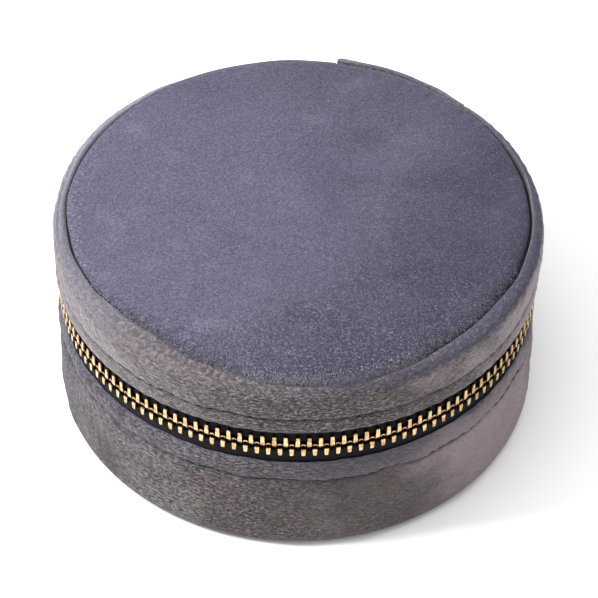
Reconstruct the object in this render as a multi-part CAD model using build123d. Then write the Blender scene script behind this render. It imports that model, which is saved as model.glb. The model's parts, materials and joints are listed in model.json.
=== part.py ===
from build123d import *
from math import cos, pi, radians, sin
import os

# Round zip-around travel jewelry case, millimetres, +Z up.
# Origin: centre of the underside. The fabric hinge is at +Y, the front of the zip at -Y.
# A place round the case is a compass angle: 0 at the hinge (+Y), growing clockwise seen from above.

# ---- driving dimensions ----
LID_R = 53.0              # outer radius of the lid's velvet wall
BASE_R = 52.5             # outer radius of the base's velvet wall
HEIGHT = 49.4             # top of the padded lid
ZIP_Z = 31.3              # height of the line where the two rows of teeth meet
CHAIN_R = 51.1            # radius of the middle of the zip chain
HINGE_HALF_DEG = 18.0     # half of the arc that the fabric hinge takes; the zip takes the rest
SLIDER_DEG = -27.2        # where the slider rests, at the closed end of the zip

VELVET = 1.05             # thickness of the velvet, pile included
BOARD = 2.1               # greyboard of the outer walls
SHEET_BOARD = 2.0         # greyboard of the top and bottom discs
COLLAR_BOARD = 1.4        # thinner card of the inner collar
EASE = 0.05               # room between two glued layers

# ---- zip chain, size 5 with metal teeth ----
PITCH = 2.40              # from one tooth to the next in the same row
TOOTH_W = 1.10            # tooth along the chain
TOOTH_T = 2.40            # tooth across the tape
TOOTH_OUT = 2.90          # from the chain's middle to the legs' ends
TOOTH_TIP = 0.75          # how far a head reaches past the middle
TAPE_T = 0.60
TAPE_EDGE = 1.20          # from the chain's middle to the tape's corded edge
TEETH_START_DEG = -31.5
BOTTOM_STOP_DEG = 20.0
TOP_STOP_DEG = -19.3

# ---- heights ----
BASE_EDGE_Z = 27.3        # upper, folded edge of the base's velvet wall
LID_EDGE_Z = 36.4         # lower, folded edge of the lid's velvet wall
LIP_Z = 48.8              # top of the lip that the lid's velvet wall makes round the top panel
LOWER_HEM_Z = 17.0        # far edge of the lower tape, inside the wall
UPPER_HEM_Z = 43.5        # far edge of the upper tape, inside the wall
COLLAR_Z = 31.0           # top of the inner collar's card
BOTTOM_COVER_T = 1.0
FLOOR_PAD_T = 2.0
DIVIDER_Z = 24.0
ROLL_TOP_Z = 20.5

# ---- places worked out from them ----
TAPE_IN = CHAIN_R - TAPE_T / 2
TAPE_OUT = CHAIN_R + TAPE_T / 2
WALL_R = TAPE_IN - EASE                   # outer face of both wall boards
COVER_IN = TAPE_OUT + EASE                # inner face of both velvet walls
COLLAR_R = CHAIN_R - 3.0                  # clear of the slider's inner plate
COLLAR_IN = COLLAR_R - COLLAR_BOARD
LINING_IN = COLLAR_IN - 1.0               # inner face of the base's lining
BOARD_Z = BOTTOM_COVER_T + EASE
FLOOR_Z = BOARD_Z + SHEET_BOARD
PAD_Z = FLOOR_Z + FLOOR_PAD_T
LIP_IN = 50.4                             # inner edge of the lip
TOP_COVER_R = LIP_IN - 0.2
ARC_DEG = 360 - 2 * HINGE_HALF_DEG
LID_BOARD_IN = WALL_R - 1.8
LID_LINING_IN = LID_BOARD_IN - 1.0
TOP_BOARD_Z = 43.6
MIRROR_R = 37.0
MIRROR_T = 1.2

os.makedirs("parts", exist_ok=True)


def save(shape, node):
    """Write one node's STEP file."""
    shape.label = node
    export_step(shape, f"parts/{node}.step")


def math_deg(compass):
    """Compass angle to the usual angle from +X."""
    return 90.0 - compass


def profile(points):
    """A closed face in the X-Z half plane from (radius, height) corners."""
    return make_face(Polyline(*[(r, 0, z) for r, z in points], close=True))


def block(r_in, r_out, z_low, z_high, corner=0.0):
    """A rectangular wall section, with its four corners rounded."""
    face = profile([(r_in, z_low), (r_out, z_low), (r_out, z_high), (r_in, z_high)])
    return fillet(face.vertices(), corner) if corner else face


def turned(face, from_deg=0.0, arc=360.0):
    """Turn a section about Z, counter-clockwise from a usual angle."""
    return Rot(0, 0, from_deg) * revolve(face, Axis.Z, arc)


def round_the_zip(face):
    """Turn a section round the case from one side of the hinge to the other."""
    return turned(face, math_deg(-HINGE_HALF_DEG), ARC_DEG)


def round_the_hinge(face, gap_deg):
    """Turn a section over the hinge's arc, stopping gap_deg short at each end."""
    half = HINGE_HALF_DEG - gap_deg
    return turned(face, math_deg(half), 2 * half)


def on_chain(compass, along=0.0):
    """Local frame on the chain: X clockwise along it, Y down, Z outward."""
    a = radians(math_deg(compass))
    out = Vector(cos(a), sin(a), 0)
    clockwise = Vector(sin(a), -cos(a), 0)
    origin = out * CHAIN_R + clockwise * along + Vector(0, 0, ZIP_Z)
    return Plane(origin=origin, x_dir=clockwise, z_dir=out)


def disc(radius, z_low, z_high, corner=0.0):
    """A flat disc; corner rounds its outer edges."""
    face = profile([(0, z_low), (radius, z_low), (radius, z_high), (0, z_high)])
    if corner:
        rim = [v for v in face.vertices() if v.X > radius / 2]
        face = fillet(rim, corner)
    return turned(face)


# ================= base =================

def base_side_cover():
    """Velvet wall of the base, turned under the bottom board."""
    foot_in = COVER_IN - VELVET
    face = profile([
        (foot_in, 0), (BASE_R, 0), (BASE_R, BASE_EDGE_Z), (COVER_IN, BASE_EDGE_Z),
        (COVER_IN, BOTTOM_COVER_T), (foot_in, BOTTOM_COVER_T),
    ])
    foot = [v for v in face.vertices() if v.Z < 0.1 and v.X > BASE_R - 0.1]
    face = fillet(foot, 1.8)
    fold = [v for v in face.vertices() if v.Z > BASE_EDGE_Z - 0.1]
    return round_the_zip(fillet(fold, 0.48))


def base_boards():
    """Bottom disc and outer wall ring."""
    save(disc(COVER_IN - EASE, BOARD_Z, FLOOR_Z), "base_bottom_board")
    wall = block(WALL_R - BOARD, WALL_R, FLOOR_Z, BASE_EDGE_Z - 1.0)
    save(turned(wall), "base_wall_board")


def base_lining():
    """Lining velvet up the inside of the collar and over its top edge."""
    face = profile([
        (LINING_IN, FLOOR_Z), (COLLAR_IN, FLOOR_Z), (COLLAR_IN, COLLAR_Z + EASE),
        (COLLAR_R, COLLAR_Z + EASE), (COLLAR_R, COLLAR_Z + 0.9), (LINING_IN, COLLAR_Z + 0.9),
    ])
    rim = [v for v in face.vertices() if v.Z > COLLAR_Z + 0.8]
    return turned(fillet(rim, 0.4))


def inside(shape, radius):
    """Cut a shape to a round plan."""
    return shape & Pos(0, 0, HEIGHT / 2) * Cylinder(radius, HEIGHT)


def ring_rolls():
    """Three foam rolls with rounded tops, side by side in the front half."""
    width = 14.2
    side = width / 2
    low = PAD_Z + EASE
    axis_z = ROLL_TOP_Z - side
    for i in range(3):
        y = -6.9 - i * (width + 0.3)
        section = Plane.YZ * (
            Pos(0, (low + axis_z) / 2) * Rectangle(width, axis_z - low)
            + Pos(0, axis_z) * Circle(side)
        )
        roll = Pos(0, y, 0) * extrude(section, LINING_IN, both=True)
        save(inside(roll, LINING_IN - 0.5), f"ring_roll_{i + 1}")


def dividers():
    """One wall across the case and two that part the back half into three."""
    thick = 2.0
    wall_y = 2.0
    tall = DIVIDER_Z - PAD_Z - EASE
    mid_z = (DIVIDER_Z + PAD_Z + EASE) / 2
    across = Pos(0, wall_y, mid_z) * Box(2 * LINING_IN, thick, tall)
    save(inside(across, LINING_IN - 0.1), "divider_long")
    start = wall_y + thick / 2 + 0.1
    for side, name in ((-1, "divider_left"), (1, "divider_right")):
        wall = Pos(side * 15.0, start + LINING_IN / 2, mid_z) * Box(thick, LINING_IN, tall)
        save(inside(wall, LINING_IN - 0.1), name)


# ================= zip =================

def tooth(sign):
    """One clamped tooth, head towards the other row; sign is +1 for the lower row."""
    slot = TAPE_T / 2 + 0.04
    half = TOOTH_T / 2
    head = half - 0.3
    outline = [
        (head, -TOOTH_TIP), (half, 0.1), (half, TOOTH_OUT), (slot, TOOTH_OUT),
        (slot, TAPE_EDGE - 0.1), (-slot, TAPE_EDGE - 0.1), (-slot, TOOTH_OUT), (-half, TOOTH_OUT),
        (-half, 0.1), (-head, -TOOTH_TIP),
    ]
    face = make_face(Polyline(*[(0, sign * y, z) for z, y in outline], close=True))
    return extrude(face, TOOTH_W / 2, both=True, dir=(1, 0, 0))


def teeth_row(sign):
    """A row of teeth round the case; the upper row is half a pitch behind the lower."""
    step = 360 * PITCH / (2 * pi * CHAIN_R)
    run = 360 - BOTTOM_STOP_DEG + TEETH_START_DEG - 2.2
    count = int(run / step)
    first = TEETH_START_DEG - (step / 2 if sign < 0 else 0)
    one = tooth(sign)
    return Compound(children=[on_chain(first - i * step) * one for i in range(count)])


def tape(z_low, z_high):
    """Woven tape, its corded edge in the teeth and its hem inside the wall."""
    return round_the_zip(block(TAPE_IN, TAPE_OUT, z_low, z_high))


def top_stop(sign):
    """Small clip on one tape in front of the slider."""
    slot = TAPE_T / 2 + 0.04
    clip = Pos(0, sign * (1.1 + 0.9), 0) * Box(1.6, 1.8, TOOTH_T)
    clip = fillet(clip.edges().filter_by(Axis.X), 0.3)
    return on_chain(TOP_STOP_DEG) * (clip - Pos(0, sign * 3.2, 0) * Box(4, 4, 2 * slot))


def bottom_stop():
    """Clip over both tapes that ends the zip at its open end."""
    slot = TAPE_T / 2 + 0.04
    clip = fillet(Box(2.0, 5.6, TOOTH_T).edges().filter_by(Axis.X), 0.4)
    for sign in (1, -1):
        clip = clip - Pos(0, sign * (TAPE_EDGE - 0.1 + 2), 0) * Box(4, 4, 2 * slot)
    return on_chain(BOTTOM_STOP_DEG) * clip


# ================= slider and pull =================

PLATE = 0.9               # thickness of the slider's plates
OUTER_FACE = 1.35         # inner face of the outer plate, from the chain's middle
INNER_FACE = -1.65        # inner face of the inner plate; lower, because the chain is curved
SLIT_HIGH = 0.50          # the tape's slit in the side flanges
SLIT_LOW = -0.85
LEG_X = -3.2              # the bridge's rear leg, which the pull's link hangs on
LEG_L = 1.0
BRIDGE_W = 2.0
BRIDGE_GAP = 1.4          # room for the link under the bridge
LINK_T = 0.9
LINK_Z = OUTER_FACE + PLATE + BRIDGE_GAP / 2
BAR_Y = 7.5               # the link's lower bar, below its eye
BAR_R = 0.45
BAR_LIFT = 0.4            # the bar stands out from the link, so that the tab's eye clears the slider


def mirrored_outline(half):
    """A face symmetrical about X from the points of its +Y side."""
    other = [(x, -y) for x, y in reversed(half)]
    return make_face(Polyline(*half, *other, close=True))


def slab(face, z_low, z_high):
    """A face extruded between two levels."""
    return Pos(0, 0, z_low) * extrude(face, z_high - z_low)


def slider_body():
    """Two plates, side flanges and the wedge that parts the rows."""
    plan = mirrored_outline([(-5.5, 3.0), (-4.7, 3.55), (0.4, 3.55), (3.0, 3.72), (4.8, 3.65), (5.5, 2.9)])
    throat = mirrored_outline([(-7, 3.0), (0.6, 3.0), (3.2, 3.2), (7, 3.2)])
    sides = plan - throat
    wedge = mirrored_outline([(1.2, 0.1), (2.6, 0.95), (4.6, 0.95), (5.0, 0.5)])
    plates = slab(plan, OUTER_FACE, OUTER_FACE + PLATE) + slab(plan, INNER_FACE - PLATE, INNER_FACE)
    flanges = slab(sides, SLIT_HIGH, OUTER_FACE) + slab(sides, INNER_FACE, SLIT_LOW)
    return plates + flanges + slab(wedge, INNER_FACE, OUTER_FACE)


def slider_bridge():
    """Arched bridge on the outer plate; the link passes round its rear leg."""
    low = OUTER_FACE + PLATE
    high = low + BRIDGE_GAP + 0.9
    end = -LEG_X + LEG_L / 2
    arch = make_face(Polyline((-end, 0, low), (end, 0, low), (end, 0, high), (-end, 0, high), close=True))
    arch = fillet([v for v in arch.vertices() if v.Z > low + 0.1], 1.0)
    inner = end - LEG_L
    window = make_face(Polyline(
        (-inner, 0, low), (inner, 0, low), (inner, 0, low + BRIDGE_GAP), (-inner, 0, low + BRIDGE_GAP),
        close=True))
    return extrude(arch - window, BRIDGE_W / 2, both=True, dir=(0, 1, 0))


def pull_link():
    """Small link: a round eye on the bridge's leg and a bar between two arms."""
    eye = Circle(2.5)
    body = mirrored_outline([(-2.2, 1.0), (2.5, 1.4), (3.4, 2.7), (BAR_Y + 0.5, 2.7)])
    body = Rot(0, 0, 90) * body
    window = Pos(0, 4.2 + 5) * Rectangle(3.7, 10)
    plate = slab(eye + body - Circle(1.45) - window, -LINK_T / 2, LINK_T / 2)
    bar = Pos(0, BAR_Y, BAR_LIFT) * Rot(0, 90, 0) * Cylinder(BAR_R, 4.6)
    return Pos(LEG_X, 0, LINK_Z) * (plate + bar)


def pull_tab():
    """Flat tab, rolled round the link's bar at its top."""
    barrel = Rot(0, 90, 0) * (Cylinder(0.98, 3.3) - Cylinder(BAR_R + 0.07, 4))
    neck = Pos(0, 1.6) * Rectangle(3.3, 1.8)
    blade = Pos(0, 9.4) * RectangleRounded(6.0, 14.6, 1.6)
    blade = blade - Pos(0, 13.6) * Circle(1.3)
    plate = slab(neck + blade, -0.5, 0.5)
    return Pos(LEG_X, BAR_Y, LINK_Z + BAR_LIFT) * (barrel + plate)


# ================= lid =================

def lid_side_cover():
    """Velvet wall of the lid, drawn over the top edge as a lip."""
    face = profile([
        (COVER_IN, LID_EDGE_Z), (LID_R, LID_EDGE_Z), (LID_R, LIP_Z), (LIP_IN, LIP_Z),
        (LIP_IN, LIP_Z - 0.9), (COVER_IN, LIP_Z - 0.9),
    ])
    shoulder = [v for v in face.vertices() if v.Z > LIP_Z - 0.1 and v.X > LID_R - 0.1]
    face = fillet(shoulder, 1.4)
    fold = [v for v in face.vertices() if v.Z < LID_EDGE_Z + 0.1]
    return round_the_zip(fillet(fold, 0.6))


def crowned(radius, low_z, edge_z, centre_z):
    """A disc with a flat underside and a gently domed top, part of a sphere."""
    rise = centre_z - edge_z
    sphere_r = (radius ** 2 + rise ** 2) / (2 * rise)
    ball = Pos(0, 0, centre_z - sphere_r) * Sphere(sphere_r)
    return disc(radius, low_z, centre_z + 1) & ball


def lid_top():
    """Board, foam and the padded velvet panel that fills the lip."""
    board_top = TOP_BOARD_Z + SHEET_BOARD
    panel_low = LIP_Z - 0.95
    save(disc(LID_BOARD_IN - EASE, TOP_BOARD_Z, board_top), "lid_top_board")
    save(disc(LID_BOARD_IN - EASE, board_top + EASE, panel_low - EASE, 0.6), "lid_top_foam")
    save(crowned(TOP_COVER_R, panel_low, LIP_Z - 0.25, HEIGHT), "lid_top_cover")


def lid_inside():
    """Wall board, lining wall, lining panel and the mirror."""
    board = block(LID_BOARD_IN, WALL_R, LID_EDGE_Z + 0.4, LIP_Z - 1.0)
    save(turned(board), "lid_wall_board")
    lining = block(LID_LINING_IN, LID_BOARD_IN - EASE, LID_EDGE_Z + 0.2, TOP_BOARD_Z - EASE)
    save(turned(lining), "lid_lining_wall")
    low = TOP_BOARD_Z - EASE - 1.0
    panel = block(MIRROR_R + 0.1, LID_LINING_IN - EASE, low, TOP_BOARD_Z - EASE)
    save(turned(panel), "lid_lining_panel")
    save(disc(MIRROR_R, TOP_BOARD_Z - EASE - MIRROR_T, TOP_BOARD_Z - EASE, 0.3), "lid_mirror")


# ================= hinge =================

def hinge_panel():
    """Velvet strip the full height of the back, the outside of the hinge."""
    face = block(COVER_IN, LID_R, 0.3, HEIGHT - 0.1, 0.6)
    return round_the_hinge(face, 0.2)


def hinge_lining():
    """Lining strip behind the panel, in line with the zip tapes."""
    return round_the_hinge(block(TAPE_IN, TAPE_OUT, LOWER_HEM_Z, UPPER_HEM_Z), 0.1)


save(disc(COVER_IN - VELVET - 0.1, 0, BOTTOM_COVER_T, 0.3), "base_bottom_cover")
save(base_side_cover(), "base_side_cover")
base_boards()
save(turned(block(COLLAR_IN + EASE, COLLAR_R, FLOOR_Z, COLLAR_Z)), "base_collar")
save(base_lining(), "base_lining")
save(disc(LINING_IN - EASE, FLOOR_Z, PAD_Z, 0.5), "base_floor_pad")
ring_rolls()
dividers()

save(tape(LOWER_HEM_Z, ZIP_Z - TAPE_EDGE), "zipper_tape_lower")
save(tape(ZIP_Z + TAPE_EDGE, UPPER_HEM_Z), "zipper_tape_upper")
save(teeth_row(1), "zipper_teeth_lower")
save(teeth_row(-1), "zipper_teeth_upper")
save(top_stop(1), "zipper_top_stop_lower")
save(top_stop(-1), "zipper_top_stop_upper")
save(bottom_stop(), "zipper_bottom_stop")

seat = on_chain(SLIDER_DEG)
save(seat * slider_body(), "slider_body")
save(seat * slider_bridge(), "slider_bridge")
save(seat * pull_link(), "pull_link")
save(seat * pull_tab(), "pull_tab")

save(lid_side_cover(), "lid_side_cover")
lid_top()
lid_inside()

save(hinge_panel(), "hinge_panel")
save(hinge_lining(), "hinge_lining")

# Joint places for the record, in millimetres.
leg = seat.from_local_coords(Vector(LEG_X, 0, LINK_Z))
bar = seat.from_local_coords(Vector(LEG_X, BAR_Y, LINK_Z + BAR_LIFT))
print("link pivot", leg, "axis", seat.z_dir)
print("tab pivot", bar, "axis", seat.x_dir)
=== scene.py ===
"""Looks of a round velvet travel jewelry case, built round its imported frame. Metres, +Z up.

A place round the case is a compass angle in degrees: 0 at the hinge (+Y), growing clockwise from above.
"""
import json
import math

import bmesh
import bpy
import numpy as np
from mathutils import Matrix, Vector


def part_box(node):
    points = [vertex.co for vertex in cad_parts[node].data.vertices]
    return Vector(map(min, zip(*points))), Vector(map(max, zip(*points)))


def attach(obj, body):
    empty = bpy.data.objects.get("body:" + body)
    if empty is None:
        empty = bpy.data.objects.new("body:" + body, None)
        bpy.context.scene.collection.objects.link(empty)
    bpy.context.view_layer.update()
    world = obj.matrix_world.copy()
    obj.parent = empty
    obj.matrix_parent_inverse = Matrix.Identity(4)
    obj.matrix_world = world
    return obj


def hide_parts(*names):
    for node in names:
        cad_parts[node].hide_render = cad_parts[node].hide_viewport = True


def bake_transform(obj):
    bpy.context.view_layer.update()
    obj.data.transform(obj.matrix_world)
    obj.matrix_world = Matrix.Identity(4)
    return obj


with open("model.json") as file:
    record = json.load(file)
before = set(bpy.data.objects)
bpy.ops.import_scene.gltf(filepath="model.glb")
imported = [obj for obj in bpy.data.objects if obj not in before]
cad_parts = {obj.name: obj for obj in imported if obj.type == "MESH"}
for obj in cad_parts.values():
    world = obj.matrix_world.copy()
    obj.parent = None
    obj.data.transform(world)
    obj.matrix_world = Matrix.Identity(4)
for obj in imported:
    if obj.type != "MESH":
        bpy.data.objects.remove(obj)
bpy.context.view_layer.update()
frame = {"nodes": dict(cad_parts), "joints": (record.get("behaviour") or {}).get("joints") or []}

MM = 0.001


# ---- the frame's sizes

def radius(node):
    """Largest distance of a CAD node from the case's axis."""
    co = np.array([v.co for v in frame["nodes"][node].data.vertices])
    return float(np.hypot(co[:, 0], co[:, 1]).max())


joints = {j["name"]: j for j in frame["joints"]}
ZIP_Z = joints["lid_hinge"]["pos_m"][2]
LID_R = radius("lid_side_cover")
BASE_R = radius("base_side_cover")
PANEL_R = radius("lid_top_cover")
LID_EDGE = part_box("lid_side_cover")[0].z
LIP_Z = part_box("lid_side_cover")[1].z
BASE_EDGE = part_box("base_side_cover")[1].z
TOP_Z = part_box("lid_top_cover")[1].z
TAPE_R = radius("zipper_tape_lower")
TAPE_T = 0.6 * MM
CHAIN_R = TAPE_R - TAPE_T / 2
COVER_IN = TAPE_R + 0.05 * MM
PANEL_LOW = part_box("lid_top_cover")[0].z
LID_SEAM_Z = LID_EDGE + 3.8 * MM
BASE_SEAM_Z = BASE_EDGE - 6.4 * MM
HINGE_HALF = math.degrees(math.asin(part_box("hinge_panel")[1].x / LID_R)) + 0.15
ZIP_FROM = HINGE_HALF
ZIP_TO = 360 - HINGE_HALF


# ---- small mesh tools

def new_object(name, mesh):
    """Link a mesh as an object."""
    o = bpy.data.objects.new(name, mesh)
    bpy.context.scene.collection.objects.link(o)
    return o


def smooth(o, angle=None):
    """Smooth shading, with edges sharper than angle degrees kept crisp."""
    for p in o.data.polygons:
        p.use_smooth = True
    if angle is not None:
        o.data.set_sharp_from_angle(angle=math.radians(angle))
    return o


def make(name, verts, faces, uvs=None, shade=None):
    """An object from vertex and face arrays.

    uvs gives each vertex its place on the cloth in metres, shade the painted shade at it in seams and
    creases, from 0 to 1."""
    me = bpy.data.meshes.new(name)
    me.from_pydata([tuple(v) for v in verts], [], [tuple(f) for f in faces])
    if uvs is not None:
        layer = me.uv_layers.new(name="UVMap")
        loops = np.zeros(len(me.loops), int)
        me.loops.foreach_get("vertex_index", loops)
        layer.data.foreach_set("uv", np.asarray(uvs, np.float32)[loops].ravel())
    if shade is not None:
        painted_shade = me.attributes.new("shade", "FLOAT", "POINT")
        painted_shade.data.foreach_set("value", np.clip(shade, 0, 1).astype(np.float32))
    me.validate()
    o = new_object(name, me)
    bm = bmesh.new()
    bm.from_mesh(me)
    bmesh.ops.recalc_face_normals(bm, faces=bm.faces)
    bm.to_mesh(me)
    bm.free()
    return smooth(o)


def rounded(points, times=3):
    """Cut the corners of a closed outline (Chaikin), so that it bends like cloth over an edge."""
    p = np.asarray(points, float)
    for _ in range(times):
        q = np.roll(p, -1, axis=0)
        p = np.stack([0.75 * p + 0.25 * q, 0.25 * p + 0.75 * q], axis=1).reshape(-1, 2)
    return p


def beside(r, z, *steps):
    """Outline points at steps of (outward, up), in millimetres, from the place (r, z)."""
    return [(r + out * MM, z + up * MM) for out, up in steps]


def waves(theta, v, seed, rounds, pitch, count=24):
    """Smooth random relief of about unit size that closes round the case.

    rounds is the lowest and highest number of waves in a turn, pitch the shortest wave across, in metres."""
    rng = np.random.default_rng(seed)
    total = np.zeros(np.broadcast(theta, v).shape)
    for _ in range(count):
        k = rng.integers(rounds[0], rounds[1] + 1)
        m = rng.uniform(-1, 1) * 2 * math.pi / pitch
        total += np.cos(k * theta + m * v + rng.uniform(0, 2 * math.pi))
    return total * math.sqrt(2 / count)


def sweep(name, section, degs, shift=None, closed=False, painted_shade=None):
    """Sweep a closed (radius, height) section round the case.

    shift(r, z, theta) moves the surface and returns the new r and z; the shade function, given r, z and
    theta, returns the shade painted on it."""
    n, m = len(section), len(degs)
    theta = np.radians(np.asarray(degs))[:, None]
    r = np.repeat(section[None, :, 0], m, axis=0)
    z = np.repeat(section[None, :, 1], m, axis=0)
    shade = painted_shade(r, z, theta).reshape(-1) if painted_shade else None
    if shift:
        r, z = shift(r, z, theta)
    verts = np.stack([r * np.sin(theta), r * np.cos(theta), z], axis=2).reshape(-1, 3)
    step = np.linalg.norm(section - np.roll(section, 1, axis=0), axis=1)
    along = np.cumsum(step)
    mean_r = float(section[:, 0].mean())
    uvs = np.stack([np.repeat(theta * mean_r, n, axis=1), np.repeat(along[None, :], m, axis=0)], axis=2)
    i = np.arange(m if closed else m - 1)[:, None]
    j = np.arange(n)[None, :]
    here, there = i * n, ((i + 1) % m) * n
    quads = np.stack([here + j, there + j, there + (j + 1) % n, here + (j + 1) % n], axis=2).reshape(-1, 4)
    faces = [tuple(q) for q in quads]
    if not closed:
        faces += [tuple(range(n)), tuple(range((m - 1) * n, m * n))]
    return make(name, verts, faces, uvs.reshape(-1, 2), shade)


def spaced(start, end, count):
    """Evenly spaced compass angles."""
    return np.linspace(start, end, count)


def bell(x, width):
    """A smooth bump, 1 at 0 and gone at about two widths."""
    return np.exp(-(x / width) ** 2)


def ramp(x, low, high):
    """0 below low, 1 above high, smooth between."""
    t = np.clip((x - low) / (high - low), 0, 1)
    return t * t * (3 - 2 * t)


def turn(theta, points):
    """A value that changes smoothly round the case, through (compass angle, value) points."""
    deg = np.degrees(theta) % 360
    at = np.array([p[0] for p in points] + [points[0][0] + 360], float)
    value = np.array([p[1] for p in points] + [points[0][1]], float)
    deg = np.where(deg < at[0], deg + 360, deg)
    i = np.clip(np.searchsorted(at, deg, side="right") - 1, 0, len(points) - 1)
    return value[i] + (value[i + 1] - value[i]) * ramp(deg, at[i], at[i + 1])


# ---- materials

def nodes_of(name):
    """A new node material; returns it with its tree and its Principled shader."""
    mat = bpy.data.materials.new(name)
    mat.use_nodes = True
    tree = mat.node_tree
    return mat, tree, tree.nodes["Principled BSDF"]


def add(tree, kind, **values):
    """Add a node and set its plain attributes or input values."""
    node = tree.nodes.new(kind)
    for key, value in values.items():
        if hasattr(node, key):
            setattr(node, key, value)
        else:
            node.inputs[key.replace("_", " ")].default_value = value
    return node


def mix_colour(tree, factor, a, b, blend="MIX"):
    """A colour mix; a, b and factor are sockets or values. Returns the result socket."""
    node = tree.nodes.new("ShaderNodeMix")
    node.data_type, node.blend_type = "RGBA", blend
    for socket, value in ((node.inputs[0], factor), (node.inputs[6], a), (node.inputs[7], b)):
        if isinstance(value, bpy.types.NodeSocket):
            tree.links.new(value, socket)
        elif isinstance(value, (int, float)):
            socket.default_value = value
        else:
            socket.default_value = (*value, 1)
    return node.outputs[2]


def maths(tree, operation, a, b=0.0):
    """A maths node on sockets or numbers; returns its socket."""
    node = tree.nodes.new("ShaderNodeMath")
    node.operation = operation
    for socket, value in zip(node.inputs, (a, b)):
        if isinstance(value, bpy.types.NodeSocket):
            tree.links.new(value, socket)
        else:
            socket.default_value = value
    return node.outputs[0]


def times(tree, a, b):
    """Product of two sockets or numbers."""
    return maths(tree, "MULTIPLY", a, b)


def plus(tree, a, b):
    """Sum of two sockets or numbers."""
    return maths(tree, "ADD", a, b)


def less(tree, a, b):
    """The first socket or number less the second."""
    return maths(tree, "SUBTRACT", a, b)


def object_place(tree):
    """Where a point is on the piece, in the shared frame."""
    return tree.nodes.new("ShaderNodeTexCoord").outputs["Object"]


def axes_of(tree, vector):
    """The outputs X, Y and Z of a vector socket."""
    split = tree.nodes.new("ShaderNodeSeparateXYZ")
    tree.links.new(vector, split.inputs[0])
    return split.outputs


def map_range(tree, value, low, high, to_low=0.0, to_high=1.0):
    """Map a socket from one range to another, smoothly and clamped."""
    node = tree.nodes.new("ShaderNodeMapRange")
    node.interpolation_type = "SMOOTHSTEP"
    tree.links.new(value, node.inputs[0])
    for socket, number in zip(list(node.inputs)[1:5], (low, high, to_low, to_high)):
        socket.default_value = number
    return node.outputs[0]


def from_axis(tree, vector):
    """Distance of a place from the case's axis."""
    axes = axes_of(tree, vector)
    squares = [times(tree, axes[a], axes[a]) for a in ("X", "Y")]
    return maths(tree, "SQRT", plus(tree, *squares))


def noise_of(tree, vector, scale, detail=2.0, rough=0.55, stretch=(1, 1, 1), lay=(0, 0, 0),
             offset=(0, 0, 0), distortion=0.0):
    """Noise over a coordinate socket; stretch and lay turn its grain in a direction."""
    mapping = tree.nodes.new("ShaderNodeMapping")
    mapping.inputs["Scale"].default_value = stretch
    mapping.inputs["Rotation"].default_value = lay
    mapping.inputs["Location"].default_value = offset
    tree.links.new(vector, mapping.inputs["Vector"])
    noise = add(tree, "ShaderNodeTexNoise", Scale=scale, Detail=detail, Roughness=rough,
                Distortion=distortion)
    tree.links.new(mapping.outputs[0], noise.inputs["Vector"])
    return noise.outputs["Fac"]


def paint(tree, shader, colour, rough):
    """Link a colour and a roughness to the shader."""
    tree.links.new(colour, shader.inputs["Base Color"])
    tree.links.new(rough, shader.inputs["Roughness"])


def bump_of(tree, shader, heights):
    """Chain of bumps; heights is a list of (socket, depth in metres, strength)."""
    normal = None
    for height, depth, strength in heights:
        node = add(tree, "ShaderNodeBump", Strength=strength, Distance=depth)
        tree.links.new(height, node.inputs["Height"])
        if normal:
            tree.links.new(normal, node.inputs["Normal"])
        normal = node.outputs[0]
    tree.links.new(normal, shader.inputs["Normal"])


RIM_SHARE = 0.8    # how much of the pile at the very rim is the fringe's


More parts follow.
